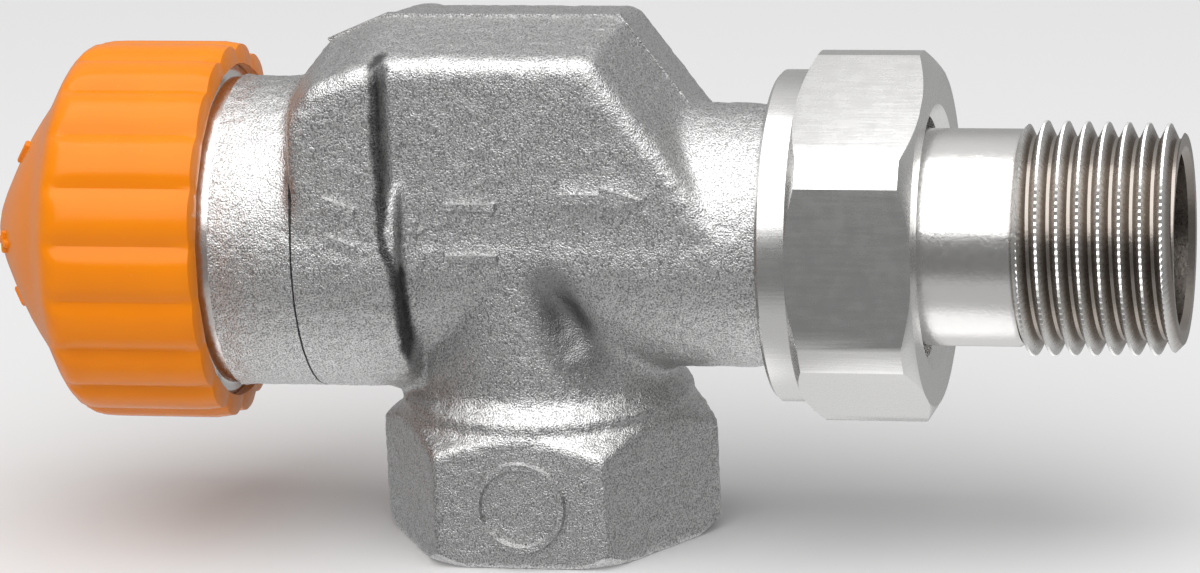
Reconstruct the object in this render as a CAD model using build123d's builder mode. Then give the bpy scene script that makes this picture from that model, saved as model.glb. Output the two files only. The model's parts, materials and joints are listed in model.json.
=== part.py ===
from build123d import *
import math
import os

# Axial thermostatic radiator valve, DN 15.  Millimetres.
# The origin is the middle of the inlet's end face.  The inlet points down, the insert and its cap
# point to -X and the tailpiece to +X, both on the main axis, axis_height above the end face.
# Places along the main axis are measured from the inlet axis, and end in _x.

# Overall sizes
axis_height = 27.5
inlet_to_tail_end = 58.0
cap_length = 23.1

# Clearances
running_gap = 0.08
face_gap = 0.1
free_gap = 0.3
seal_gap = 0.03

# Inlet: a hexagon with an internal Rp 1/2 thread
inlet_flats = 27.0
inlet_shoulder_height = 12.0
inlet_shoulder_radius = 13.2
inlet_shoulder_land = 1.2
inlet_shoulder_slope = 0.75
inlet_corner_chamfer = 0.7
inlet_neck_radius = 11.8
inlet_neck_flare = 1.4
inlet_thread_radius = 9.315
inlet_thread_depth = 13.0
inlet_lead_in = 1.2
inlet_bore_radius = 7.5

# Casting
neck_radius = 13.6
chamber_outer_radius = 14.0
main_radius = 11.8
main_half_width = 11.6
left_half_width = 13.7
main_left_x = -11.0
chamber_left_x = -19.0
block_left_x = -21.4
block_rise = 20.05
block_left_slope_rise = 14.3
block_left_mid_x = -18.4
block_left_mid_rise = 17.9
block_left_top_x = -13.4
block_right_top_x = 8.3
block_right_foot_x = 20.4
block_right_foot_rise = 3.4
block_draft = 7.7
block_edge_round = 1.6
outlet_branch_radius = 11.6
outlet_branch_start_x = 20.0
roof_wall = 2.0
passage_wall = 3.6
passage_half_width = 7.5
passage_left_x = -17.0
passage_drop = 3.0
web_wall = 2.5

# Insert chamber and seat
chamber_radius = 11.0
seat_plate_x = -10.5
seat_lip = 0.8
seat_bore_radius = 5.5
seat_lip_width = 1.1
stroke = 3.0

# Head connection M30 x 1.5, standing on the head face
head_face_x = -28.2
head_thread_length = 6.8
head_thread_radius = 15.0
head_thread_depth = 0.92
head_thread_pitch = 1.5
head_collar = 0.7
closed_pin_height = 11.8

# Insert
bush_thread_radius = 12.5
bush_thread_length = 4.5
bush_seal_radius = 10.9
bush_seal_length = 4.5
bush_flange_radius = 13.4
bush_flange = 0.7
bush_slot_width = 3.0
cartridge_radius = 8.82
cartridge_flange_radius = 10.0
cartridge_flange = 0.9
cartridge_neck_radius = 8.2
cartridge_hex_flats = 14.0
cartridge_hex_height = 1.6
cartridge_tube_radius = 7.45
cartridge_tube_end_x = -18.5
spring_chamber_radius = 6.4
pin_radius = 1.5
gland_radius = 4.24
gland_length = 3.7
gland_recess = 0.2
gland_slot = 1.0
gland_cell_length = 1.5
gland_cell_radius = 2.95
cartridge_web = 2.0
dial_thickness = 1.5
dial_steps = 8
dial_mark_width = 0.5
dial_mark_length = 2.2
dial_mark_height = 0.25
clip_thickness = 0.4
clip_radius = 9.3
clip_root_radius = 7.65
clip_opening = 5.0

# Stem
spindle_radius = 2.0
spindle_flange_radius = 5.6
spindle_flange = 1.0
spring_wire = 0.9
spring_turns = 5.0
spring_mean_radius = 4.6
spring_seat_x = -21.5
spring_seat_thickness = 1.0
spring_clip_thickness = 0.6
disc_radius = 6.6
disc_thickness = 1.95
carrier_radius = 7.2
carrier_plate = 1.2
carrier_rim = 1.2
disc_washer_radius = 3.2
disc_washer_thickness = 0.5
disc_nut_flats = 5.5
disc_nut_height = 1.6
spindle_tail = 0.5

# Throttle sleeve
sleeve_wall = 0.8
sleeve_overlap = 6.0
sleeve_seat_gap = 0.6
sleeve_windows = 3
sleeve_window_length = 5.0
sleeve_window_width = 6.0

# O-rings: radius of the section
bush_ring_section = 0.58
cartridge_ring_section = 0.62
gland_ring_section = 0.65
tail_ring_section = 0.58
groove_slack = 0.3

# Protective cap
cap_rim_x = -27.7
cap_crest_radius = 17.15
cap_valley_depth = 0.45
cap_ribs = 20
cap_shoulder_length = 13.2
cap_dome_radius = 11.0
cap_dome_base_x = -45.2
cap_dome_bulge = 0.5
cap_shoulder_round = 1.6
cap_wall = 1.4
cap_step_x = -41.2
cap_inner_radius = 13.0
cap_cone_x = -42.4
cap_well_radius = 9.3
cap_boss_radius = 3.0
cap_tip_flat = 1.2

# Union: male G 3/4 on the body, nut and tailpiece
union_thread_radius = 13.22
union_thread_depth = 1.16
union_pitch = 1.814
union_thread_start_x = 22.6
union_face_x = 30.5
outlet_bore_radius = 8.5
union_socket_radius = 10.0
union_socket_depth = 3.9
nut_flats = 30.0
nut_collar_radius = 14.8
nut_start_x = 22.2
nut_hex_x = 24.9
nut_shoulder = 3.0
nut_corner_radius = 16.85
nut_chamfer_radius = 15.1
nut_tilt = 3.35
tail_bore_radius = 7.77
tail_nose_length = 3.6
tail_flange_gap = 0.8
nut_bore_gap = 1.13
tail_flange = 2.3
tail_radius = 9.65
tail_thread_length = 14.0
tail_thread_first = 1.2
tail_thread_ridges = 7
tail_crest_first = 10.44
tail_crest_last = 10.26
tail_root_radius = 9.24
tail_end_chamfer = 0.7

# Threads: share of the pitch that the foot and the flat top of a ridge take
ridge_foot = 0.9
ridge_top = 0.3

# Cast flow arrow
arrow_length = 7.6
arrow_head_length = 4.0
arrow_head_width = 2.6
arrow_shaft_width = 1.0
arrow_raise = 0.35
arrow_x = 8.05
arrow_rise = 6.2

# Places along the main axis, worked out from the sizes above
thread_end_x = head_face_x - head_thread_length
pin_tip_x = head_face_x - closed_pin_height - stroke
seat_face_x = seat_plate_x - seat_lip
disc_face_x = seat_face_x - stroke - seal_gap
disc_back_x = disc_face_x - disc_thickness
carrier_back_x = disc_back_x - carrier_plate
bush_seal_x = thread_end_x + bush_thread_length
bush_end_x = bush_seal_x + bush_seal_length
bush_face_x = thread_end_x - bush_flange
dial_back_x = bush_face_x - face_gap
dial_face_x = dial_back_x - dial_thickness
neck_end_x = dial_face_x - clip_thickness - 2 * face_gap
cartridge_face_x = neck_end_x - cartridge_hex_height
gland_face_x = cartridge_face_x + gland_recess
gland_back_x = gland_face_x + gland_length
web_x = gland_back_x + gland_cell_length
spring_chamber_x = web_x + cartridge_web
spindle_x = spring_chamber_x + free_gap
spring_left_x = spindle_x + spindle_flange
sleeve_end_x = seat_face_x - sleeve_seat_gap
sleeve_radius = cartridge_tube_radius + seal_gap
tail_face_x = union_face_x + face_gap
tail_nose_radius = union_socket_radius - face_gap
tail_flange_radius = union_thread_radius + running_gap - tail_flange_gap
nut_bore_radius = tail_radius + nut_bore_gap
tail_neck_x = tail_face_x + tail_flange
nut_shoulder_x = tail_neck_x + face_gap
nut_face_x = nut_shoulder_x + nut_shoulder
tail_thread_x = inlet_to_tail_end - tail_thread_length
cap_tip_x = cap_rim_x - cap_length

main_axis = Axis((0, 0, axis_height), (1, 0, 0))
axial = Plane(origin=(0, 0, axis_height), x_dir=(1, 0, 0), z_dir=(0, -1, 0))


def across(x):
    """Plane across the main axis at x, looking along +X."""
    return Plane(origin=(x, 0, axis_height), x_dir=(0, 1, 0), z_dir=(1, 0, 0))


def turn(*points, mode=Mode.ADD):
    """Turn an outline of (place, radius) points about the main axis."""
    with BuildSketch(axial) as outline:
        with BuildLine():
            Polyline(*points, close=True)
        make_face()
    revolve(outline.sketch, axis=main_axis, mode=mode)


def tube(start, end, outer, inner, mode=Mode.ADD):
    """A round tube on the main axis."""
    turn((start, inner), (start, outer), (end, outer), (end, inner), mode=mode)


def rod(start, end, radius, mode=Mode.ADD):
    """A round bar on the main axis, or a bore with Mode.SUBTRACT."""
    turn((start, 0), (start, radius), (end, radius), (end, 0), mode=mode)


def ridges(first, count, pitch, root, first_crest, last_crest):
    """Thread ridges, each with a cylindrical land as its crest."""
    with BuildSketch(axial) as outline:
        for index in range(count):
            middle = first + index * pitch
            crest = first_crest + (last_crest - first_crest) * index / max(count - 1, 1)
            half_foot = ridge_foot * pitch / 2
            half_top = ridge_top * pitch / 2
            with BuildLine():
                Polyline((middle - half_foot, root - free_gap), (middle - half_foot, root),
                         (middle - half_top, crest), (middle + half_top, crest),
                         (middle + half_foot, root), (middle + half_foot, root - free_gap), close=True)
            make_face()
    revolve(outline.sketch, axis=main_axis)


def o_ring(place, radius, section):
    """A torus round the main axis."""
    with BuildSketch(axial) as outline:
        with Locations((place, radius)):
            Circle(section)
    revolve(outline.sketch, axis=main_axis)


def block(half_width, *outline):
    """Drafted casting block with straight sides, from its outline in the middle plane."""
    with BuildPart() as raw:
        with BuildSketch(axial):
            with BuildLine():
                Polyline(*outline, close=True)
            make_face()
        extrude(amount=half_width, taper=block_draft)
        front = raw.faces().sort_by(Axis.Y)[0]
        upright = front.edges().filter_by(Axis.Z)
        rims = front.edges().filter_by(lambda edge: edge.center().Z > axis_height + block_edge_round)
        fillet([edge for edge in rims if edge not in upright], block_edge_round)
        mirror(about=Plane.XZ)
    return raw.part


def save(part, name):
    part.label = name
    export_step(part, f"parts/{name}.step")


os.makedirs("parts", exist_ok=True)

# Valve body: one brass casting, machined at the inlet, the neck and the outlet.
inlet_corner_radius = inlet_flats / math.sqrt(3)
corner_top = inlet_shoulder_height - inlet_shoulder_slope * (inlet_corner_radius - inlet_shoulder_radius)
neck_foot = inlet_shoulder_height + inlet_shoulder_land + inlet_neck_flare
passage_floor = inlet_bore_radius + free_gap
passage_roof = block_rise - passage_wall
outlet_start_x = inlet_bore_radius + web_wall
passage_right_x = outlet_start_x + passage_drop
block_step_x = main_left_x + left_half_width * math.tan(math.radians(block_draft))
main_block = block(main_half_width,
                   (block_left_top_x, 0), (block_left_top_x, block_rise), (block_right_top_x, block_rise),
                   (block_right_foot_x, block_right_foot_rise), (block_right_foot_x, 0))
left_block = block(left_half_width,
                   (block_left_x, 0), (block_left_x, block_left_slope_rise),
                   (block_left_mid_x, block_left_mid_rise),
                   (block_left_top_x, block_rise), (block_step_x, block_rise), (block_step_x, 0))

with BuildPart() as valve_body:
    with BuildSketch():
        RegularPolygon(inlet_flats / 2, 6, major_radius=False)
    extrude(amount=inlet_shoulder_height)
    with BuildSketch(Plane.XZ):
        with BuildLine():
            Polyline((0, 0), (inlet_corner_radius - inlet_corner_chamfer, 0),
                     (inlet_corner_radius, inlet_corner_chamfer), (inlet_corner_radius, corner_top),
                     (inlet_shoulder_radius, inlet_shoulder_height), (0, inlet_shoulder_height), close=True)
        make_face()
    revolve(axis=Axis.Z, mode=Mode.INTERSECT)
    with BuildSketch(Plane.XZ):
        with BuildLine():
            Polyline((0, inlet_shoulder_height), (inlet_shoulder_radius, inlet_shoulder_height),
                     (inlet_shoulder_radius, inlet_shoulder_height + inlet_shoulder_land),
                     (inlet_neck_radius, neck_foot), (inlet_neck_radius, axis_height), (0, axis_height),
                     close=True)
        make_face()
    revolve(axis=Axis.Z)
    # The barrel: head thread, neck, insert chamber, main part and outlet branch
    turn((thread_end_x, 0), (thread_end_x, head_thread_radius - head_thread_depth),
         (head_face_x - head_collar, head_thread_radius - head_thread_depth),
         (head_face_x - head_collar, head_thread_radius), (head_face_x, head_thread_radius),
         (head_face_x + head_collar, neck_radius), (chamber_left_x, neck_radius),
         (chamber_left_x, chamber_outer_radius), (main_left_x, chamber_outer_radius),
         (main_left_x, main_radius), (outlet_branch_start_x, main_radius),
         (outlet_branch_start_x, outlet_branch_radius), (union_thread_start_x, outlet_branch_radius),
         (union_thread_start_x, union_thread_radius - union_thread_depth),
         (union_face_x, union_thread_radius - union_thread_depth), (union_face_x, 0))
    ridges(thread_end_x + head_thread_pitch / 2,
           int((head_thread_length - head_collar) / head_thread_pitch),
           head_thread_pitch, head_thread_radius - head_thread_depth, head_thread_radius, head_thread_radius)
    ridges(union_thread_start_x + union_pitch / 2, int((union_face_x - union_thread_start_x) / union_pitch),
           union_pitch, union_thread_radius - union_thread_depth, union_thread_radius, union_thread_radius)
    add(main_block)
    add(left_block)
    # Inlet thread and bore
    with BuildSketch(Plane.XZ):
        with BuildLine():
            Polyline((0, 0), (inlet_thread_radius + inlet_lead_in, 0), (inlet_thread_radius, inlet_lead_in),
                     (inlet_thread_radius, inlet_thread_depth),
                     (inlet_bore_radius, inlet_thread_depth + inlet_thread_radius - inlet_bore_radius),
                     (inlet_bore_radius, axis_height + passage_floor - roof_wall - inlet_lead_in),
                     (inlet_bore_radius - inlet_lead_in, axis_height + passage_floor - roof_wall),
                     (0, axis_height + passage_floor - roof_wall), close=True)
        make_face()
    revolve(axis=Axis.Z, mode=Mode.SUBTRACT)
    # Insert chamber, seat and passage over the inlet bore to the outlet
    rod(thread_end_x, bush_seal_x, bush_thread_radius + running_gap, mode=Mode.SUBTRACT)
    rod(bush_seal_x, seat_face_x, chamber_radius, mode=Mode.SUBTRACT)
    tube(seat_face_x, seat_plate_x, chamber_radius, seat_bore_radius + seat_lip_width, mode=Mode.SUBTRACT)
    rod(seat_face_x, 0, seat_bore_radius, mode=Mode.SUBTRACT)
    with BuildSketch(axial):
        with BuildLine():
            Polyline((passage_left_x, passage_floor), (outlet_start_x, passage_floor), (outlet_start_x, 0),
                     (passage_right_x, 0), (passage_right_x, outlet_bore_radius),
                     (block_right_top_x - web_wall, passage_roof),
                     (block_left_top_x + web_wall, passage_roof),
                     (passage_left_x, passage_roof - web_wall), close=True)
        make_face()
    extrude(amount=passage_half_width, both=True, mode=Mode.SUBTRACT)
    rod(outlet_start_x, union_face_x, outlet_bore_radius, mode=Mode.SUBTRACT)
    rod(union_face_x - union_socket_depth, union_face_x, union_socket_radius, mode=Mode.SUBTRACT)
    # Flow arrow on the front
    with BuildSketch(Plane(origin=(arrow_x, -main_half_width, axis_height + arrow_rise),
                           x_dir=(1, 0, 0), z_dir=(0, -1, 0))):
        with BuildLine():
            Polyline((-arrow_length / 2, -arrow_shaft_width / 2),
                     (arrow_length / 2 - arrow_head_length, -arrow_shaft_width / 2),
                     (arrow_length / 2 - arrow_head_length, -arrow_head_width / 2), (arrow_length / 2, 0),
                     (arrow_length / 2 - arrow_head_length, arrow_head_width / 2),
                     (arrow_length / 2 - arrow_head_length, arrow_shaft_width / 2),
                     (-arrow_length / 2, arrow_shaft_width / 2), close=True)
        make_face()
    extrude(amount=arrow_raise)
save(valve_body.part, "valve_body")

# Threaded bush: brass ring that holds the insert in the body, with slots for a pin wrench.
bush_groove_x = (bush_seal_x + bush_end_x) / 2
bush_ring_radius = chamber_radius - seal_gap - bush_ring_section
bush_groove_half = bush_ring_section + groove_slack
bush_bore_radius = cartridge_radius + running_gap
with BuildPart() as insert_bush:
    turn((bush_face_x, bush_bore_radius), (bush_face_x, bush_flange_radius),
         (thread_end_x, bush_flange_radius), (thread_end_x, bush_thread_radius),
         (bush_seal_x, bush_thread_radius), (bush_seal_x, bush_seal_radius),
         (bush_end_x, bush_seal_radius), (bush_end_x, bush_bore_radius))
    tube(bush_groove_x - bush_groove_half, bush_groove_x + bush_groove_half, chamber_radius,
         bush_ring_radius - bush_ring_section - seal_gap, mode=Mode.SUBTRACT)
    with BuildSketch(across(bush_face_x)):
        Rectangle(2 * bush_flange_radius, bush_slot_width)
        Circle(cartridge_flange_radius, mode=Mode.SUBTRACT)
    extrude(amount=bush_flange, mode=Mode.SUBTRACT)
save(insert_bush.part, "insert_bush")

with BuildPart() as bush_o_ring:
    o_ring(bush_groove_x, bush_ring_radius, bush_ring_section)
save(bush_o_ring.part, "bush_o_ring")

# Cartridge: the brass centre of the insert.  It turns in the bush to set the flow.
cartridge_ring_radius = cartridge_radius - seal_gap - cartridge_ring_section
cartridge_groove_half = cartridge_ring_section + groove_slack
cartridge_groove_x = web_x + cartridge_web / 2
spring_clip_x = spring_seat_x + spring_seat_thickness
clip_x = dial_face_x - face_gap - clip_thickness
with BuildPart() as cartridge:
    with BuildSketch(across(cartridge_face_x)):
        RegularPolygon(cartridge_hex_flats / 2, 6, major_radius=False)
    extrude(amount=cartridge_hex_height)
    turn((neck_end_x, 0), (neck_end_x, cartridge_neck_radius), (bush_face_x, cartridge_neck_radius),
         (bush_face_x, cartridge_radius), (bush_end_x + face_gap, cartridge_radius),
         (bush_end_x + face_gap, cartridge_flange_radius),
         (bush_end_x + face_gap + cartridge_flange, cartridge_flange_radius),
         (bush_end_x + face_gap + cartridge_flange, cartridge_tube_radius),
         (cartridge_tube_end_x, cartridge_tube_radius), (cartridge_tube_end_x, 0))
    tube(clip_x - seal_gap, clip_x + clip_thickness + seal_gap, clip_radius, clip_root_radius - running_gap,
         mode=Mode.SUBTRACT)
    tube(cartridge_groove_x - cartridge_groove_half, cartridge_groove_x + cartridge_groove_half,
         cartridge_radius, cartridge_ring_radius - cartridge_ring_section - seal_gap, mode=Mode.SUBTRACT)
    rod(cartridge_face_x, gland_back_x, gland_radius + seal_gap, mode=Mode.SUBTRACT)
    rod(gland_back_x, web_x, gland_cell_radius, mode=Mode.SUBTRACT)
    rod(web_x, spring_chamber_x, pin_radius + running_gap, mode=Mode.SUBTRACT)
    rod(spring_chamber_x, cartridge_tube_end_x, spring_chamber_radius, mode=Mode.SUBTRACT)
    tube(spring_clip_x, spring_clip_x + spring_clip_thickness, spring_chamber_radius + free_gap + seal_gap, 0,
         mode=Mode.SUBTRACT)
save(cartridge.part, "cartridge")

with BuildPart() as cartridge_o_ring:
    o_ring(cartridge_groove_x, cartridge_ring_radius, cartridge_ring_section)
save(cartridge_o_ring.part, "cartridge_o_ring")

# Dial: plastic ring clipped on the cartridge, with raised marks for the flow settings.
with BuildPart() as preset_dial:
    tube(dial_face_x, dial_back_x, bush_flange_radius, cartridge_neck_radius + seal_gap)
    with BuildSketch(across(dial_face_x - dial_mark_height)):
        with PolarLocations(bush_flange_radius - dial_mark_length, dial_steps):
            Rectangle(dial_mark_length, dial_mark_width)
    extrude(amount=dial_mark_height)
save(preset_dial.part, "preset_dial")

with BuildPart() as dial_clip:
    with BuildSketch(across(clip_x)):
        Circle(clip_radius)
        Circle(clip_root_radius, mode=Mode.SUBTRACT)
        with Locations((0, clip_radius)):
            Rectangle(clip_opening, 2 * clip_radius - clip_opening, mode=Mode.SUBTRACT)
    extrude(amount=clip_thickness)
save(dial_clip.part, "dial_clip")

# Gland: a slotted brass plug over the O-ring that seals the pin.
with BuildPart() as gland_nut:
    tube(gland_face_x, gland_back_x, gland_radius, pin_radius + running_gap)
    with BuildSketch(across(gland_face_x)):
        Rectangle(2 * gland_radius, gland_slot)
    extrude(amount=gland_slot, mode=Mode.SUBTRACT)
save(gland_nut.part, "gland_nut")

with BuildPart() as gland_o_ring:
    o_ring(gland_back_x + gland_cell_length / 2, pin_radius + seal_gap + gland_ring_section, gland_ring_section)
save(gland_o_ring.part, "gland_o_ring")

# Stem: pin, spindle, return spring and the rubber disc in its carrier.
with BuildPart() as push_pin:
    rod(pin_tip_x, spindle_x, pin_radius)
    chamfer(push_pin.edges().group_by(Axis.X)[0], free_gap)
save(push_pin.part, "push_pin")

disc_washer_x = disc_face_x
disc_nut_x = disc_washer_x + disc_washer_thickness
spindle_end_x = disc_nut_x + disc_nut_height + spindle_tail
with BuildPart() as spindle:
    rod(spindle_x, spring_left_x, spindle_flange_radius)
    rod(spring_left_x, spindle_end_x, spindle_radius)
save(spindle.part, "spindle")

spring_length = spring_seat_x - spring_left_x - spring_wire - 2 * seal_gap
with BuildPart() as return_spring:
    with BuildLine() as coil:
        Helix(spring_length / spring_turns, spring_length, spring_mean_radius,
              center=(spring_left_x + spring_wire / 2 + seal_gap, 0, axis_height), direction=(1, 0, 0))
    with BuildSketch(Plane(origin=coil.line @ 0, z_dir=coil.line % 0)):
        Circle(spring_wire / 2)
    sweep()
save(return_spring.part, "return_spring")

with BuildPart() as spring_seat:
    tube(spring_seat_x, spring_clip_x, spring_chamber_radius - seal_gap, spindle_radius + running_gap)
save(spring_seat.part, "spring_seat")

with BuildPart() as spring_clip:
    with BuildSketch(across(spring_clip_x)):
        Circle(spring_chamber_radius + free_gap - seal_gap)
        Circle(spindle_radius + 2 * free_gap, mode=Mode.SUBTRACT)
        with Locations((0, spring_chamber_radius)):
            Rectangle(clip_opening, 2 * spring_chamber_radius, mode=Mode.SUBTRACT)
    extrude(amount=spring_clip_thickness)
save(spring_clip.part, "spring_clip")

with BuildPart() as plug_carrier:
    turn((carrier_back_x, spindle_radius), (carrier_back_x, carrier_radius),
         (disc_back_x + carrier_rim, carrier_radius), (disc_back_x + carrier_rim, disc_radius),
         (disc_back_x, disc_radius), (disc_back_x, spindle_radius))
save(plug_carrier.part, "plug_carrier")

with BuildPart() as seal_disc:
    tube(disc_back_x, disc_face_x, disc_radius, spindle_radius)
save(seal_disc.part, "seal_disc")

with BuildPart() as disc_washer:
    tube(disc_washer_x, disc_nut_x, disc_washer_radius, spindle_radius)
save(disc_washer.part, "disc_washer")

with BuildPart() as disc_nut:
    with BuildSketch(across(disc_nut_x)):
        RegularPolygon(disc_nut_flats / 2, 6, major_radius=False)
        Circle(spindle_radius + seal_gap, mode=Mode.SUBTRACT)
    extrude(amount=disc_nut_height)
save(disc_nut.part, "disc_nut")

# Throttle sleeve: plastic skirt on the cartridge, with windows that set the flow.
sleeve_outer_radius = sleeve_radius + sleeve_wall
with BuildPart() as throttle_sleeve:
    tube(cartridge_tube_end_x - sleeve_overlap, sleeve_end_x, sleeve_outer_radius, sleeve_radius)
    with BuildSketch(Plane(origin=(sleeve_end_x - sleeve_window_length / 2 - sleeve_wall, 0, axis_height),
                           x_dir=(0, 1, 0), z_dir=(1, 0, 0))):
        with PolarLocations(sleeve_outer_radius, sleeve_windows):
            Rectangle(sleeve_outer_radius, sleeve_window_width)
    extrude(amount=sleeve_window_length / 2, both=True, mode=Mode.SUBTRACT)
save(throttle_sleeve.part, "throttle_sleeve")

# Protective cap: one plastic moulding that screws on the head thread.  Its boss pushes the pin.
cap_shoulder_x = cap_rim_x - cap_shoulder_length
cap_base_radius = cap_crest_radius - cap_valley_depth
cap_boss_x = pin_tip_x - face_gap
cap_roof_x = cap_dome_base_x
with BuildPart() as protective_cap:
    with BuildSketch(axial):
        with BuildLine():
            Line((cap_rim_x, 0), (cap_rim_x, cap_crest_radius))
            Line((cap_rim_x, cap_crest_radius), (cap_shoulder_x, cap_crest_radius))
            shoulder = TangentArc((cap_shoulder_x, cap_crest_radius),
                                  (cap_shoulder_x - cap_shoulder_round, cap_crest_radius - cap_shoulder_round),
                                  tangent=(-1, 0))
            Line(shoulder @ 1, (cap_dome_base_x, cap_dome_radius))
            ThreePointArc((cap_dome_base_x, cap_dome_radius),
                          ((cap_dome_base_x + cap_tip_x) / 2 - cap_dome_bulge,
                           cap_dome_radius / 2 + cap_dome_bulge), (cap_tip_x, cap_tip_flat))
            Line((cap_tip_x, cap_tip_flat), (cap_tip_x, 0))
            Line((cap_tip_x, 0), (cap_rim_x, 0))
        make_face()
    revolve(axis=main_axis)
    with BuildSketch(across(cap_rim_x)):
        Circle(cap_base_radius)
        with PolarLocations(cap_base_radius - cap_base_radius / cap_ribs, cap_ribs):
            Circle(cap_base_radius / cap_ribs + cap_valley_depth)
    extrude(amount=-cap_length - cap_wall, mode=Mode.INTERSECT)
    rod(cap_rim_x, cap_step_x, head_thread_radius + running_gap, mode=Mode.SUBTRACT)
    rod(cap_step_x, cap_cone_x, cap_inner_radius, mode=Mode.SUBTRACT)
    rod(cap_cone_x, cap_roof_x, cap_well_radius, mode=Mode.SUBTRACT)
    rod(cap_boss_x, cap_roof_x - cap_wall, cap_boss_radius)
save(protective_cap.part, "protective_cap")

# Tailpiece: turned brass tube with its O-ring nose, flange and R 1/2 thread.
tail_ring_x = tail_face_x - tail_nose_length / 2
tail_ring_radius = union_socket_radius - seal_gap - tail_ring_section
tail_groove_half = tail_ring_section + groove_slack
with BuildPart() as tailpiece:
    turn((tail_face_x - tail_nose_length, tail_bore_radius),
         (tail_face_x - tail_nose_length, tail_nose_radius),
         (tail_face_x, tail_nose_radius), (tail_face_x, tail_flange_radius),
         (tail_neck_x, tail_flange_radius),
         (tail_neck_x, tail_radius), (tail_thread_x, tail_radius), (tail_thread_x, tail_root_radius),
         (inlet_to_tail_end - tail_end_chamfer, tail_root_radius),
         (inlet_to_tail_end, tail_root_radius - tail_end_chamfer / 2), (inlet_to_tail_end, tail_bore_radius))
    tube(tail_ring_x - tail_groove_half, tail_ring_x + tail_groove_half, tail_nose_radius,
         tail_ring_radius - tail_ring_section - seal_gap, mode=Mode.SUBTRACT)
    ridges(tail_thread_x + tail_thread_first, tail_thread_ridges, union_pitch, tail_root_radius,
           tail_crest_first, tail_crest_last)
save(tailpiece.part, "tailpiece")

with BuildPart() as tail_o_ring:
    o_ring(tail_ring_x, tail_ring_radius, tail_ring_section)
save(tail_o_ring.part, "tail_o_ring")

# Union nut: hexagon with a round collar, held on the tailpiece by its shoulder.
nut_corner_drop = (nut_corner_radius - nut_chamfer_radius) * inlet_shoulder_slope
with BuildPart() as union_nut:
    with BuildSketch(across(nut_hex_x)):
        RegularPolygon(nut_flats / 2, 6, major_radius=False, rotation=90 - nut_tilt)
    extrude(amount=nut_face_x - nut_hex_x)
    turn((nut_hex_x, 0), (nut_hex_x, nut_chamfer_radius), (nut_hex_x + nut_corner_drop, nut_corner_radius),
         (nut_face_x - nut_corner_drop, nut_corner_radius), (nut_face_x, nut_chamfer_radius), (nut_face_x, 0),
         mode=Mode.INTERSECT)
    rod(nut_start_x, nut_hex_x, nut_collar_radius)
    rod(nut_start_x, nut_shoulder_x, union_thread_radius + running_gap, mode=Mode.SUBTRACT)
    rod(nut_shoulder_x, nut_face_x, nut_bore_radius, mode=Mode.SUBTRACT)
    chamfer(union_nut.edges().filter_by(GeomType.CIRCLE).group_by(Axis.X)[-1].sort_by(SortBy.RADIUS)[0],
            nut_shoulder / 3)
save(union_nut.part, "union_nut")
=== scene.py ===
import json
import math

import bpy
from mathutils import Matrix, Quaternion, Vector
from mathutils.kdtree import KDTree


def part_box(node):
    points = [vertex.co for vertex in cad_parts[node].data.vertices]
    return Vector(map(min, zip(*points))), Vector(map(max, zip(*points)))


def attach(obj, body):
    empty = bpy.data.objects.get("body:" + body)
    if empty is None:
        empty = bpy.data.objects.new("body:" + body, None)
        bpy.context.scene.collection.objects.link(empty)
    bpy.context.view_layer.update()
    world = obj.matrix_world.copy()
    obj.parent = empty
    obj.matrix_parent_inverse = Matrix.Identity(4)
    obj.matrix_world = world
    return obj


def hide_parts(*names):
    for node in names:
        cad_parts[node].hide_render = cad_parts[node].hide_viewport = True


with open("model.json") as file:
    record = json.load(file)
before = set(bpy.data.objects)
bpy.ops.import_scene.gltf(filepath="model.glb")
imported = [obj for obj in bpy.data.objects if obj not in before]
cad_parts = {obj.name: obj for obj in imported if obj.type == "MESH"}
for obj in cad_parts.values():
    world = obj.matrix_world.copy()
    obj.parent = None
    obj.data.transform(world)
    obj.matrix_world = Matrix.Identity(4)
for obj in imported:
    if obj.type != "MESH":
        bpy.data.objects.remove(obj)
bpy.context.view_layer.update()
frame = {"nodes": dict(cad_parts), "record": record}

# Valve body. A rough brass casting with a dull nickel plating: an inlet column with a hexagon at its
# foot, a neck and chamber for the insert, a drafted block over the seat, and the outlet branch. Its
# end face, neck face and bores are machined.
mm = 0.001
mounts = {mount["name"]: mount for mount in frame["record"]["mounts"]}
axis_height = mounts["tail_thread"]["pos_m"][2]
body_low, body_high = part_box("valve_body")


def activate(piece):
    bpy.ops.object.select_all(action="DESELECT")
    piece.select_set(True)
    bpy.context.view_layer.objects.active = piece


def apply_modifier(piece, kind, **settings):
    """Add one modifier to a piece and apply it."""
    activate(piece)
    modifier = piece.modifiers.new(kind.lower(), kind)
    for key, value in settings.items():
        setattr(modifier, key, value)
    bpy.ops.object.modifier_apply(modifier=modifier.name)


def combine(piece, tool, operation):
    """Cut, join or intersect a piece with a tool, which is used up."""
    apply_modifier(piece, "BOOLEAN", operation=operation, solver="MANIFOLD", object=tool)
    bpy.data.objects.remove(tool)


def rod(name, start, end, radius, steps=96):
    """A cylinder on the main axis, from start to end in millimetres from the inlet axis."""
    bpy.ops.mesh.primitive_cylinder_add(vertices=steps, radius=radius * mm, depth=(end - start) * mm,
                                        location=((start + end) / 2 * mm, 0, axis_height),
                                        rotation=(0, math.pi / 2, 0))
    piece = bpy.context.object
    piece.name = name
    bpy.ops.object.transform_apply(location=True, rotation=True, scale=True)
    return piece


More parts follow.
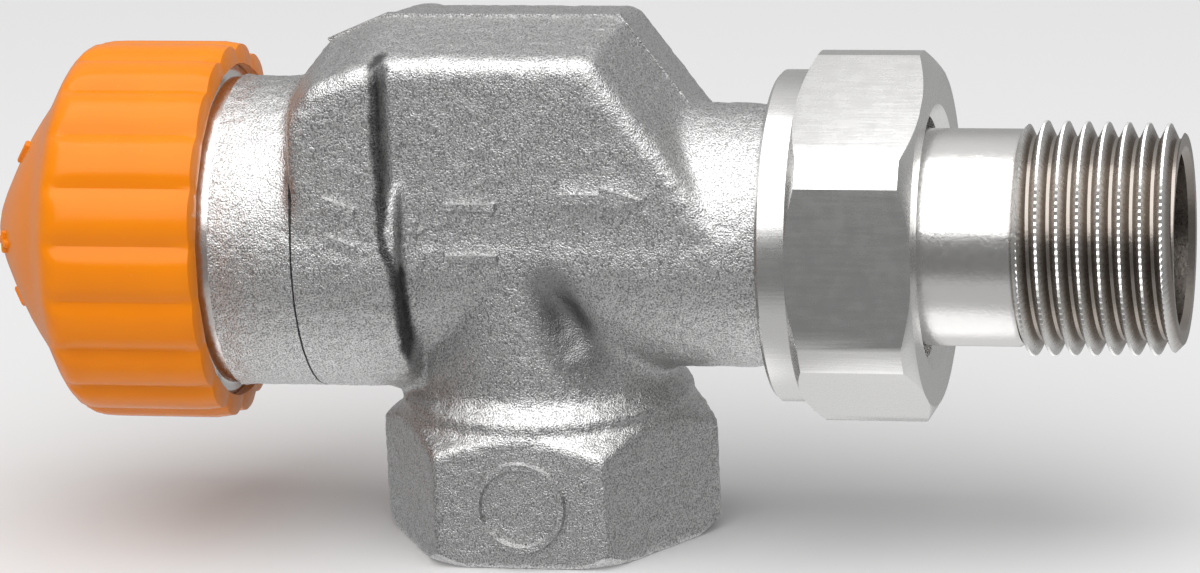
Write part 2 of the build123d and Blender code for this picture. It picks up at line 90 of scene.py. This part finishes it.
def drawn(name, spots):
    """A line drawn from spot to spot, as a new piece."""
    bpy.ops.mesh.primitive_plane_add(size=mm, location=spots[0])
    piece = bpy.context.object
    piece.name = name
    bpy.ops.object.mode_set(mode="EDIT")
    bpy.ops.mesh.select_all(action="SELECT")
    bpy.ops.mesh.merge(type="CENTER")
    for before, after in zip(spots, spots[1:]):
        bpy.ops.mesh.extrude_region_move(TRANSFORM_OT_translate={"value": after - before})
    bpy.ops.object.mode_set(mode="OBJECT")
    bpy.ops.object.transform_apply(location=True, rotation=True, scale=True)
    return piece


def turned(name, points, steps=160, upright=False):
    """An outline of (place, radius) in millimetres, spun about the main axis, or about the inlet's axis
    when it is upright."""
    if upright:
        spots = [Vector((radius * mm, 0, place * mm)) for place, radius in points]
    else:
        spots = [Vector((place * mm, 0, axis_height + radius * mm)) for place, radius in points]
    if points[0][1] > 0:
        spots.append(spots[0])
    piece = drawn(name, spots)
    bpy.ops.object.mode_set(mode="EDIT")
    bpy.ops.mesh.select_all(action="SELECT")
    bpy.ops.mesh.remove_doubles(threshold=0.001 * mm)
    bpy.ops.mesh.spin(steps=steps, angle=2 * math.pi, center=(0, 0, 0) if upright else (0, 0, axis_height),
                      axis=(0, 0, 1) if upright else (1, 0, 0))
    bpy.ops.mesh.select_all(action="SELECT")
    bpy.ops.mesh.remove_doubles(threshold=0.001 * mm)
    bpy.ops.mesh.normals_make_consistent(inside=False)
    bpy.ops.object.mode_set(mode="OBJECT")
    return piece


casting = frame["nodes"]["valve_body"].copy()
casting.data = casting.data.copy()
casting.name = "valve_casting"
casting.parent = None
bpy.context.collection.objects.link(casting)
neck_plug = rod("neck_plug", body_low.x / mm, -10, 14)
outlet_plug = rod("outlet_plug", 12, body_high.x / mm, 11)
bpy.ops.mesh.primitive_cylinder_add(vertices=96, radius=11.0 * mm, depth=30 * mm, location=(0, 0, 15.0 * mm))
inlet_plug = bpy.context.object
activate(casting)
for plug in (neck_plug, outlet_plug, inlet_plug):
    plug.select_set(True)
bpy.ops.object.join()
bpy.ops.object.mode_set(mode="EDIT")
bpy.ops.mesh.select_all(action="SELECT")
bpy.ops.mesh.remove_doubles(threshold=0.001 * mm)
bpy.ops.object.mode_set(mode="OBJECT")
apply_modifier(casting, "REMESH", mode="VOXEL", voxel_size=0.34 * mm, adaptivity=0)

# Its fillets are large in the hollows, where the barrel, the block and the inlet column meet, and
# small on the outer edges.
corners = [vertex.co.copy() for vertex in casting.data.vertices]
normals = [vertex.normal.copy() for vertex in casting.data.vertices]
hollows = set()
for edge in casting.data.edges:
    one, other = edge.vertices
    along = corners[other] - corners[one]
    if along.dot(normals[other] - normals[one]) < -0.25 * along.length:
        hollows.add(one)
nearest_hollow = KDTree(len(hollows))
for index in hollows:
    nearest_hollow.insert(corners[index], index)
nearest_hollow.balance()
soft = casting.vertex_groups.new(name="soft")
for index, corner in enumerate(corners):
    near = 1.8 - nearest_hollow.find(corner)[2] / mm / 1.3
    on_step = abs(corner.x / mm + 11) < 3 and corner.z / mm > 22
    if near > 0 and corner.z / mm > 13.5 and not on_step:
        soft.add([index], min(near, 1), "REPLACE")
apply_modifier(casting, "SMOOTH", factor=0.5, iterations=40, vertex_group="soft")
rounded = casting.vertex_groups.new(name="rounded")
for index, corner in enumerate(corners):
    height = (corner.z - axis_height) / mm
    off_step = min(abs(corner.x / mm + 11) / 2, 1) if corner.y < 0 else 1
    if height > 8:
        rounded.add([index], min((height - 8) / 4, 1) * off_step, "REPLACE")
apply_modifier(casting, "SMOOTH", factor=0.5, iterations=22, vertex_group="rounded")
apply_modifier(casting, "SMOOTH", factor=0.5, iterations=7)
for vertex in casting.data.vertices:
    across = (vertex.co.x / mm - 4.3) / 2.4 + (vertex.co.z / mm - 22.4) / 9
    along = (vertex.co.z / mm - 22.4) / 4.6
    dent = 1 - across ** 2 - along ** 2
    if dent > 0 and vertex.co.y < 0:
        vertex.co.y += 1.1 * mm * dent ** 2


def plate(name, outline, back, thickness, draft=1.0):
    """An upright plate whose outline of (x, z) is in millimetres from the axes' crossing. It grows forwards
    from back, and draft is the size of its front beside its back."""
    piece = drawn(name, [Vector((x * mm, back * mm, axis_height + z * mm)) for x, z in outline])
    bpy.ops.object.mode_set(mode="EDIT")
    bpy.ops.mesh.select_all(action="SELECT")
    bpy.ops.mesh.edge_face_add()
    bpy.ops.mesh.extrude_region_move(TRANSFORM_OT_translate={"value": (0, -thickness * mm, 0)})
    if draft != 1.0:
        bpy.ops.transform.resize(value=(draft, 1, draft))
    bpy.ops.mesh.select_all(action="SELECT")
    bpy.ops.mesh.normals_make_consistent(inside=False)
    bpy.ops.object.mode_set(mode="OBJECT")
    return piece


def raised(name, outline, face, height, root=0.6):
    """A raised cast mark that stands on a front face and is rooted in it."""
    combine(casting, plate(name, outline, face + root, height + root, 0.9), "UNION")


block_front = -11.6
chamber_front = -13.6
raised("flow_arrow", ((4.2, 5.7), (8.2, 5.7), (8.2, 4.9), (12.2, 6.2), (8.2, 7.5), (8.2, 6.7), (4.2, 6.7)),
       block_front, 0.65)
raised("cross_bar", ((-9.5, 2.95), (-7.9, 2.95), (-7.9, 3.25), (-9.5, 3.25)), block_front, 0.5)
raised("cross_post", ((-8.85, 2.1), (-8.55, 2.1), (-8.55, 4.1), (-8.85, 4.1)), block_front, 0.5)
for level in (0.7, 5.4):
    raised("plate_rule", ((-6.2, level - 0.35), (-1.1, level - 0.35), (-1.1, level + 0.35),
                          (-6.2, level + 0.35)), block_front, 0.65)
for level in (2.6, 6.0):
    raised("neck_rule", ((-16.6, level), (-13.4, level - 1.2), (-13.4, level - 0.4), (-16.6, level + 0.8)),
           chamber_front, 0.6)
foot_ring = turned("foot_ring", ((12.8, 3.3), (12.8, 4.4), (14.1, 4.1), (14.1, 3.6)), 48, True)
activate(foot_ring)
foot_ring.rotation_euler.x = math.pi / 2
foot_ring.location.z = 5.8 * mm
bpy.ops.object.transform_apply(location=True, rotation=True, scale=True)
combine(casting, foot_ring, "UNION")
seam_outline = ((-18.8, 17.9), (-13.2, 20.2), (8.2, 20.2), (20.2, 4.0), (18.5, 4.0), (8, 18), (-13, 18),
                (-17.5, 16))
combine(casting, plate("parting_seam", seam_outline, 0.3, 0.6), "UNION")
waves = bpy.data.textures.new("casting_waves", "CLOUDS")
waves.noise_scale = 1.3 * mm
grains = bpy.data.textures.new("casting_grains", "CLOUDS")
grains.noise_scale = 0.5 * mm
apply_modifier(casting, "DISPLACE", texture=waves, strength=0.16 * mm, mid_level=0.5)
apply_modifier(casting, "DISPLACE", texture=grains, strength=0.12 * mm, mid_level=0.5)
neck_end = -27.2
union_start = 22.6
chamber_radius = 11
insert_thread_radius = 12.58
water_way = ((10, 0), (10, 8.5), (26.6, 8.5), (26.6, 10), (40, 10), (40, 0))
combine(casting, rod("neck_cut", -60, neck_end, 40), "DIFFERENCE")
combine(casting, rod("outlet_cut", union_start, 60, 40), "DIFFERENCE")
bpy.ops.mesh.primitive_cube_add(size=60 * mm, location=(0, 0, -30 * mm))
combine(casting, bpy.context.object, "DIFFERENCE")
combine(casting, turned("foot_turned_down", ((-1, 0), (-1, 12.9), (1.5, 15.8), (1.5, 80), (60, 80), (60, 0)),
                        128, True), "INTERSECT")
combine(casting, turned("chamber_cut", ((-36, 0), (-36, insert_thread_radius), (-30.5, insert_thread_radius),
                                        (-30.5, chamber_radius), (-11.3, chamber_radius), (-11.3, 5.5), (0, 5.5),
                                        (0, 0)), 96), "DIFFERENCE")
combine(casting, turned("outlet_bore_cut", water_way, 96), "DIFFERENCE")
combine(casting, turned("inlet_cut", ((-1, 0), (-1, 10.9), (1.2, 9.9), (13, 9.9), (14.8, 7.5), (27.5, 7.5),
                                      (27.5, 0)), 128, True), "DIFFERENCE")
combine(casting, turned("chamber_line", ((-19.85, 15), (-19.6, 13.45), (-19.35, 15)), 128), "DIFFERENCE")


class Wire:
    """An output of a shader node that takes part in sums."""

    def __init__(self, tree, socket):
        self.tree = tree
        self.socket = socket

    def node(self, kind, settings=None, inputs=None, output=0):
        """Any other node: its type, its settings and its inputs, which are wires or plain values."""
        made = self.tree.nodes.new(kind)
        for key, value in (settings or {}).items():
            setattr(made, key, value)
        for key, value in (inputs or {}).items():
            if isinstance(value, Wire):
                self.tree.links.new(value.socket, made.inputs[key])
            else:
                made.inputs[key].default_value = value
        return Wire(self.tree, made.outputs[output])

    def maths(self, operation, first, second):
        return self.node("ShaderNodeMath", {"operation": operation}, {0: first, 1: second})

    def __add__(self, other):
        return self.maths("ADD", self, other)

    def __radd__(self, other):
        return self.maths("ADD", other, self)

    def __sub__(self, other):
        return self.maths("SUBTRACT", self, other)

    def __rsub__(self, other):
        return self.maths("SUBTRACT", other, self)

    def __mul__(self, other):
        return self.maths("MULTIPLY", self, other)

    def __rmul__(self, other):
        return self.maths("MULTIPLY", other, self)

    def __truediv__(self, other):
        return self.maths("DIVIDE", self, other)

    def __rtruediv__(self, other):
        return self.maths("DIVIDE", other, self)

    def noise(self, size, detail=2.0):
        """Noise with grains of about this size in millimetres, from 0 to 1."""
        return self.node("ShaderNodeTexNoise", None, {"Vector": self, "Scale": 1 / (size * mm), "Detail": detail})

    def between(self, dark, light):
        """A colour from dark at 0 to light at 1."""
        return self.node("ShaderNodeMix", {"data_type": "RGBA"}, {0: self, 6: (*dark, 1), 7: (*light, 1)}, 2)

    def ramp(self, start, end):
        """A soft step, 0 where the value is at start and 1 where it is at end."""
        return self.node("ShaderNodeMapRange", {"interpolation_type": "SMOOTHSTEP"},
                         {"Value": self, "From Min": start, "From Max": end})

    def bump(self, height):
        """A normal from this height, which is in millimetres at 1."""
        return self.node("ShaderNodeBump", None, {"Height": self, "Distance": height * mm})

    def into(self, shader, name):
        self.tree.links.new(self.socket, shader.inputs[name])


def new_material(name):
    """A material with its shader and the piece's own coordinates."""
    material = bpy.data.materials.new(name)
    material.use_nodes = True
    tree = material.node_tree
    coordinates = tree.nodes.new("ShaderNodeTexCoord")
    return material, tree.nodes["Principled BSDF"], Wire(tree, coordinates.outputs["Object"])


def finish(piece, material, body, smooth):
    """Give a finished piece its material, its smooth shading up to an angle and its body."""
    activate(piece)
    bpy.ops.object.shade_smooth_by_angle(angle=math.radians(smooth))
    piece.data.materials.clear()
    piece.data.materials.append(material)
    for face in piece.data.polygons:
        face.material_index = 0
    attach(piece, body)


cast_nickel, shader, place = new_material("cast_nickel")
shader.inputs["Metallic"].default_value = 1.0
grain = place.noise(0.15, 3.0)
lumps = place.noise(0.8, 3.0)
along_x, along_y, along_z = (place.node("ShaderNodeSeparateXYZ", None, {"Vector": place}, axis) for axis in range(3))
# Painted shadow: the base colour darkens in a wavering band along the step where the chamber meets the block.
wander = 0.9 * mm * (place.noise(1.6, 3.0) - 0.5)
off_step = along_x + 10.1 * mm + 1.25 * mm * along_z.ramp(26 * mm, 31 * mm) + wander
from_step = off_step.node("ShaderNodeMath", {"operation": "ABSOLUTE"}, {0: off_step})
step_shadow_mask = from_step.ramp(0.75 * mm, 0.15 * mm) * along_z.ramp(17 * mm, 19 * mm) * along_y.ramp(-9 * mm, -10.5 * mm)
# Painted shade: the base colour darkens in the hollow between the inlet column and the outlet branch, mottled by the
# grain.
across = (along_x - 4.4 * mm) / (2.6 * mm) + (along_z - 22.2 * mm) / (9 * mm)
upward = (along_z - 22.2 * mm) / (5.2 * mm)
hollow_shade_mask = (across * across + upward * upward).ramp(2.2, 0.0) * along_y.ramp(-4 * mm, -6 * mm)
# The painted shadow in the step and the painted shade in the hollow, which darken the grain's colour.
painted_shade = step_shadow_mask + hollow_shade_mask * (0.25 + 0.55 * grain.ramp(0.35, 0.6))
painted_shade_clamped = painted_shade.node("ShaderNodeClamp", None, {"Value": painted_shade})
grain_and_painted_shade = (0.3 + 0.46 * grain.ramp(0.34, 0.6)) * (1 - 0.8 * painted_shade_clamped)
grain_and_painted_shade.between((0, 0, 0), (1.0, 0.995, 0.99)).into(shader, "Base Color")
(0.2 + 0.22 * place.noise(0.5)).into(shader, "Roughness")
(0.75 * grain + 0.6 * lumps).bump(0.13).into(shader, "Normal")
finish(casting, cast_nickel, "body", 50)
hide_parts("valve_body")

# Head connection. The machined end of the neck, with its collar and the M30 x 1.5 thread that the
# cap screws on.


def threaded(name, start, end, pitch, root, crest, steps=128):
    """A screw thread on the main axis, cut off flat at both ends, in millimetres."""
    foot = 0.08 * pitch
    flat = 0.44 * pitch
    outline = ((0, root), (foot, root), (flat, crest), (pitch - flat, crest), (pitch - foot, root), (pitch, root))
    first = start - 1.5 * pitch
    piece = drawn(name, [Vector(((first + along) * mm, 0, radius * mm)) for along, radius in outline])
    turns = math.ceil((end - start) / pitch) + 3
    apply_modifier(piece, "SCREW", axis="X", angle=2 * math.pi, screw_offset=pitch * mm, iterations=turns,
                   steps=steps, render_steps=steps, use_merge_vertices=False, use_smooth_shade=False)
    piece.location.z = axis_height
    bpy.ops.object.transform_apply(location=True, rotation=True, scale=True)
    bpy.ops.object.mode_set(mode="EDIT")
    bpy.ops.mesh.select_all(action="SELECT")
    bpy.ops.mesh.remove_doubles(threshold=0.002 * mm)
    for cut, outwards in ((start, False), (end, True)):
        bpy.ops.mesh.select_all(action="SELECT")
        bpy.ops.mesh.bisect(plane_co=(cut * mm, 0, axis_height), plane_no=(1, 0, 0), use_fill=True,
                            clear_inner=not outwards, clear_outer=outwards, threshold=0.0001 * mm)
    bpy.ops.mesh.select_all(action="SELECT")
    bpy.ops.mesh.normals_make_consistent(inside=False)
    bpy.ops.object.mode_set(mode="OBJECT")
    return piece


turned_nickel, shader, place = new_material("turned_nickel")
shader.inputs["Metallic"].default_value = 1.0
shader.inputs["Base Color"].default_value = (0.80, 0.79, 0.775, 1)
(0.16 + 0.16 * place.noise(0.7, 3.0)).into(shader, "Roughness")
(place.noise(0.35, 2.0) + 0.6 * place.noise(1.6)).bump(0.012).into(shader, "Normal")
head = threaded("head_connection", -35, -28.6, 1.5, 14.08, 15)
combine(head, turned("head_collar", ((-29.6, 0), (-29.6, 15), (-28.9, 15), (-28.5, 13.9), (-27.2, 13.8), (-27.2, 0)),
                     128), "UNION")
combine(head, turned("head_bore", ((-37, 0), (-37, insert_thread_radius), (-30.5, insert_thread_radius),
                                   (-30.5, chamber_radius), (-20, chamber_radius), (-20, 0)), 128), "DIFFERENCE")
finish(head, turned_nickel, "body", 35)

# Union thread. The machined end of the outlet branch, G 3/4, which the union nut screws on.
outlet = threaded("union_thread", 22.2, 30.5, 1.814, 12.06, 13.22)
combine(outlet, turned("union_chamfer", ((20, 0), (20, 12.2), (22.2, 12.2), (23.4, 13.4), (29.6, 13.4), (30.5, 12.4),
                                         (30.5, 0)), 128), "INTERSECT")
combine(outlet, turned("union_socket", water_way, 128), "DIFFERENCE")
finish(outlet, turned_nickel, "body", 35)

# Protective cap. One glossy plastic moulding that screws on the head connection: twenty rounded
# ribs end in soft shoulders below a dome with four low marks, and the rim is open towards the neck.
cap_low, cap_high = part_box("protective_cap")
rim = cap_high.x / mm
tip = cap_low.x / mm
crest = (cap_high.z - cap_low.z) / 2 / mm
outside = ((rim, 0), (rim, 16.75), (rim - 0.35, crest), (rim - 2, crest), (rim - 4, crest), (rim - 6, crest),
           (rim - 8, crest), (rim - 10, crest), (rim - 11.5, crest), (rim - 12.6, crest - 0.05),
           (rim - 13.3, crest - 0.2), (rim - 13.9, crest - 0.55), (rim - 14.4, crest - 1.05),
           (rim - 14.8, crest - 1.65), (rim - 15.3, 14.6), (rim - 15.8, 13.7), (rim - 16.4, 12.6), (rim - 17.0, 11.8),
           (rim - 17.7, 10.9), (rim - 18.6, 9.6), (rim - 19.4, 8.3), (rim - 20.2, 6.9), (rim - 21.0, 5.4),
           (rim - 21.7, 4.1), (rim - 22.3, 2.8), (rim - 22.8, 1.5), (tip, 0))
cap = turned("cap_moulding", outside, 240)
for vertex in cap.data.vertices:
    side = vertex.co.y
    up = vertex.co.z - axis_height
    radius = math.hypot(side, up)
    if radius > 10 * mm:
        lobe = abs(math.cos(10 * math.atan2(side, up)))
        flute = crest * mm - 0.75 * mm * (1 - lobe) ** 1.5
        if radius > flute:
            vertex.co.y = side * flute / radius
            vertex.co.z = axis_height + up * flute / radius
apply_modifier(cap, "SMOOTH", factor=0.5, iterations=3)


def nub(name, round_axis, out, along, across, turn=0.0):
    """A low raised bar on the dome, at this angle round the axis from the front and this far out."""
    bpy.ops.mesh.primitive_cube_add(size=1)
    bar = bpy.context.object
    bar.name = name
    bar.scale = (along * mm, across * mm, 1.1 * mm)
    bpy.ops.object.transform_apply(location=True, rotation=True, scale=True)
    apply_modifier(bar, "BEVEL", width=0.2 * mm, segments=2, limit_method="ANGLE", angle_limit=math.radians(30))
    bar.rotation_mode = "QUATERNION"
    tilt = Quaternion((0, 1, 0), math.radians(-60))
    bar.rotation_quaternion = Quaternion((1, 0, 0), round_axis) @ tilt @ Quaternion((0, 0, 1), turn)
    bar.location = (tip * mm + (0.8 + (out - 2.8) / 1.75) * mm, -out * math.sin(round_axis) * mm,
                    axis_height + out * math.cos(round_axis) * mm)
    bpy.ops.object.transform_apply(location=True, rotation=True, scale=True)
    combine(cap, bar, "UNION")


nub("plus_along", math.pi / 2, 5.2, 2.9, 0.65)
nub("plus_across", math.pi / 2, 5.2, 0.65, 2.1)
nub("dome_mark_below", math.pi / 2 + 0.95, 6.6, 2.0, 0.75)
nub("dome_mark_above", math.pi / 2 - 1.15, 8.6, 2.4, 0.8)
combine(cap, turned("cap_hollow", ((-20, 0), (-20, 15.08), (-41.2, 15.08), (-41.2, 13), (-42.4, 13), (-42.4, 9.3),
                                   (-45.2, 9.3), (-45.2, 3), (-43.1, 3), (-43.1, 0)), 160), "DIFFERENCE")
apply_modifier(cap, "BEVEL", width=0.18 * mm, segments=2, limit_method="ANGLE", angle_limit=math.radians(50))
orange_plastic, shader, place = new_material("orange_plastic")
shader.inputs["Specular IOR Level"].default_value = 0.25
shader.inputs["Subsurface Weight"].default_value = 0.1
shader.inputs["Subsurface Scale"].default_value = 1.0 * mm
(0.2 + 0.1 * place.noise(2.0, 2.0)).into(shader, "Roughness")
place.noise(6, 1.0).between((0.70, 0.185, 0.001), (0.76, 0.215, 0.001)).into(shader, "Base Color")
place.noise(0.6, 2.0).bump(0.004).into(shader, "Normal")
finish(cap, orange_plastic, "cap", 40)
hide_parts("protective_cap")

# Union nut. Turned from hexagonal brass bar and nickel plated: a round collar towards the valve, a
# hexagon with its corners turned down, and a bore that holds the tailpiece's flange.
nut_low, nut_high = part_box("union_nut")
nut_start = nut_low.x / mm
nut_end = nut_high.x / mm
hexagon_start = nut_start + 2.7
bpy.ops.mesh.primitive_cylinder_add(vertices=6, radius=15 / math.cos(math.pi / 6) * mm,
                                    depth=(nut_end - hexagon_start) * mm)
nut = bpy.context.object
nut.name = "nut_turning"
nut.rotation_mode = "QUATERNION"
nut.rotation_quaternion = Quaternion((1, 0, 0), math.radians(26.65)) @ Quaternion((0, 1, 0), math.pi / 2)
nut.location = ((nut_end + hexagon_start) / 2 * mm, 0, axis_height)
bpy.ops.object.transform_apply(location=True, rotation=True, scale=True)
combine(nut, turned("nut_turned_down", ((hexagon_start - 1, 0), (hexagon_start - 1, 14.7), (hexagon_start, 15.05),
                                        (hexagon_start + 1.0, 16.6), (nut_end - 1.0, 16.6),
                                        (nut_end, 15.05), (nut_end + 1, 14), (nut_end + 1, 0)), 192), "INTERSECT")
combine(nut, turned("nut_collar", ((nut_start, 0), (nut_start, 14.5), (nut_start + 0.3, 14.8),
                                   (hexagon_start + 0.5, 14.8), (hexagon_start + 0.5, 0)), 192), "UNION")
combine(nut, turned("nut_bore", ((nut_start - 1, 0), (nut_start - 1, 14.0), (nut_start + 0.7, 13.3),
                                 (33.0, 13.3), (33.0, 10.78), (nut_end - 1.0, 10.78), (nut_end + 1, 12.78),
                                 (nut_end + 1, 0)), 192), "DIFFERENCE")
apply_modifier(nut, "BEVEL", width=0.12 * mm, segments=2, limit_method="ANGLE", angle_limit=math.radians(25))
nut_nickel, shader, place = new_material("nut_nickel")
shader.inputs["Metallic"].default_value = 1.0
shader.inputs["Base Color"].default_value = (0.80, 0.795, 0.785, 1)
stretched = place.node("ShaderNodeMapping", None, {"Vector": place, "Scale": (1.0, 14.0, 14.0)})
scratches = stretched.noise(4.0, 3.0)
(0.17 + 0.12 * place.noise(1.2, 4.0) + 0.08 * scratches).into(shader, "Roughness")
(scratches + 0.5 * place.noise(0.25, 2.0)).bump(0.008).into(shader, "Normal")
finish(nut, nut_nickel, "nut", 25)
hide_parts("union_nut")

# Tailpiece. Turned brass tube, nickel plated: an O-ring nose and a flange inside the nut, a smooth
# neck, and an R 1/2 thread whose crests are serrated so that the sealing hemp holds.
tail_low, tail_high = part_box("tailpiece")
tail_end = tail_high.x / mm
thread_start = tail_end - 14
tail = turned("tail_turning", ((27, 7.77), (27, 9.9), (27.9, 9.9), (27.9, 8.8), (29.7, 8.8), (29.7, 9.9), (30.6, 9.9),
                               (30.6, 12.5), (32.9, 12.5), (32.9, 9.65), (thread_start - 0.4, 9.65),
                               (thread_start, 9.4), (thread_start, 7.77)), 160)
thread = threaded("tail_thread", thread_start, tail_end, 1.814, 9.1, 10.45, 208)
for vertex in thread.data.vertices:
    side = vertex.co.y
    up = vertex.co.z - axis_height
    radius = math.hypot(side, up)
    step = round(math.atan2(side, up) / (2 * math.pi) * 208)
    along = (vertex.co.x / mm - thread_start) / 14
    grown = radius - 0.25 * mm * along
    if radius > 10.3 * mm and step % 2:
        grown -= 0.16 * mm
    if radius > 9.0 * mm:
        vertex.co.y = side * grown / radius
        vertex.co.z = axis_height + up * grown / radius
combine(thread, turned("thread_ends", ((thread_start - 1, 0), (thread_start - 1, 9.9), (thread_start, 9.9),
                                       (thread_start + 0.9, 10.7), (tail_end - 1.4, 10.7), (tail_end, 9.3),
                                       (tail_end + 1, 8.3), (tail_end + 1, 0)), 208), "INTERSECT")
combine(thread, turned("thread_bore", ((thread_start - 2, 0), (thread_start - 2, 7.77), (tail_end - 0.6, 7.77),
                                       (tail_end + 1, 9.0), (tail_end + 1, 0)), 160), "DIFFERENCE")
thread_nickel, shader, place = new_material("thread_nickel")
shader.inputs["Metallic"].default_value = 1.0
side, up = (place.node("ShaderNodeSeparateXYZ", None, {"Vector": place}, axis) for axis in (1, 2))
up = up - axis_height
outwards = (side * side + up * up).node("ShaderNodeMath", {"operation": "SQRT"}, {0: side * side + up * up})
crests = (outwards + 0.25 * mm * (place.noise(0.6) - 0.5)).ramp(9.3 * mm, 10.15 * mm)
crests.between((0.34, 0.305, 0.275), (0.86, 0.855, 0.84)).into(shader, "Base Color")
(0.2 + 0.18 * place.noise(0.5, 3.0)).into(shader, "Roughness")
(place.noise(0.3, 2.0) + 0.5 * place.noise(1.2)).bump(0.014).into(shader, "Normal")
for piece, nickel in ((tail, turned_nickel), (thread, thread_nickel)):
    finish(piece, nickel, "tail", 35)
    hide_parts("tailpiece")

# Insert, seals and springs, which the cap and the body hide: turned brass, stainless steel, rubber
# and moulded plastic.
inner_looks = {"brass": ((0.66, 0.47, 0.20), (0.76, 0.57, 0.28), 1.0, 0.22, 0.02),
               "stainless": ((0.60, 0.60, 0.59), (0.70, 0.70, 0.69), 1.0, 0.2, 0.01),
               "rubber": ((0.015, 0.015, 0.015), (0.03, 0.03, 0.03), 0.0, 0.5, 0.03),
               "white_plastic": ((0.76, 0.76, 0.72), (0.83, 0.83, 0.79), 0.0, 0.32, 0.01),
               "black_plastic": ((0.02, 0.02, 0.02), (0.04, 0.04, 0.04), 0.0, 0.38, 0.02)}
inner_materials = {}
for name, (dark, light, metallic, roughness, relief) in inner_looks.items():
    inner_materials[name], shader, place = new_material(name)
    shader.inputs["Metallic"].default_value = metallic
    place.noise(1.5, 3.0).between(dark, light).into(shader, "Base Color")
    (roughness + 0.15 * place.noise(0.6, 3.0)).into(shader, "Roughness")
    place.noise(0.3, 2.0).bump(relief).into(shader, "Normal")
for subpart in frame["record"]["subparts"]:
    if subpart["material_slot"] in inner_materials:
        node = frame["nodes"][subpart["node"]]
        node.data.materials.clear()
        node.data.materials.append(inner_materials[subpart["material_slot"]])

# Studio: a pale floor, a large soft light overhead, and the camera.
bpy.ops.mesh.primitive_plane_add(size=8, location=(0, 0, body_low.z))
floor = bpy.context.object
floor.name = "floor"
floor_paint, shader, place = new_material("floor_paint")
shader.inputs["Base Color"].default_value = (0.62, 0.62, 0.62, 1)
shader.inputs["Roughness"].default_value = 0.9
floor.data.materials.append(floor_paint)
floor.visible_glossy = False
world = bpy.data.worlds.new("studio")
world.use_nodes = True
tree = world.node_tree
around = tree.nodes.new("ShaderNodeTexCoord")
split = tree.nodes.new("ShaderNodeSeparateXYZ")
tree.links.new(around.outputs["Generated"], split.inputs[0])
height = Wire(tree, split.outputs["Z"])
front_to_back = Wire(tree, split.outputs["Y"])
below = height.node("ShaderNodeMapRange", {"interpolation_type": "SMOOTHSTEP"},
                    {"Value": height, "From Min": -0.35, "From Max": -0.60, "To Min": 0.20, "To Max": 0.55})
beneath = height.node("ShaderNodeMapRange", {"interpolation_type": "SMOOTHSTEP"},
                      {"Value": height, "From Min": -0.88, "From Max": -0.98, "To Min": 0.0, "To Max": 0.7})
above = height.node("ShaderNodeMapRange", {"interpolation_type": "SMOOTHSTEP"},
                    {"Value": height, "From Min": 0.3, "From Max": 0.9, "To Min": 0.0, "To Max": 0.35})
behind = height.node("ShaderNodeMapRange", {"interpolation_type": "SMOOTHSTEP"},
                     {"Value": front_to_back, "From Min": -0.1, "From Max": 0.4, "To Min": 0.0, "To Max": 0.2})
tree.nodes["Background"].inputs["Color"].default_value = (1, 1, 1, 1)
tree.links.new((below + beneath + above + behind).socket, tree.nodes["Background"].inputs["Strength"])
bpy.context.scene.world = world
bpy.context.scene.view_settings.view_transform = "Standard"


def soft_light(name, elevation, azimuth, distance, size, radiance):
    """A square lamp that faces the valve."""
    out = Vector((math.sin(azimuth) * math.cos(elevation), -math.cos(azimuth) * math.cos(elevation),
                  math.sin(elevation)))
    bpy.ops.object.light_add(type="AREA", location=Vector((0, 0, axis_height)) + distance * out)
    lamp = bpy.context.object
    lamp.name = name
    lamp.data.size = size
    lamp.data.energy = radiance * math.pi * size * size
    lamp.rotation_mode = "QUATERNION"
    lamp.rotation_quaternion = out.to_track_quat("Z", "Y")


soft_light("overhead", math.radians(61), 0, 0.8, 1.44, 2.2)
target = Vector((5.172 * mm, 0, 22.527 * mm))
azimuth = math.radians(12.70)
elevation = math.radians(15.02)
back = Vector((math.sin(azimuth) * math.cos(elevation), -math.cos(azimuth) * math.cos(elevation),
               math.sin(elevation)))
bpy.ops.object.camera_add(location=target + 541.55 * mm * back)
camera = bpy.context.object
camera.rotation_mode = "QUATERNION"
camera.rotation_quaternion = back.to_track_quat("Z", "Y") @ Quaternion((0, 0, 1), math.radians(-2.605))
camera.data.sensor_width = 36
camera.data.lens = 180.55
camera.data.clip_start = 0.01
bpy.context.scene.camera = camera
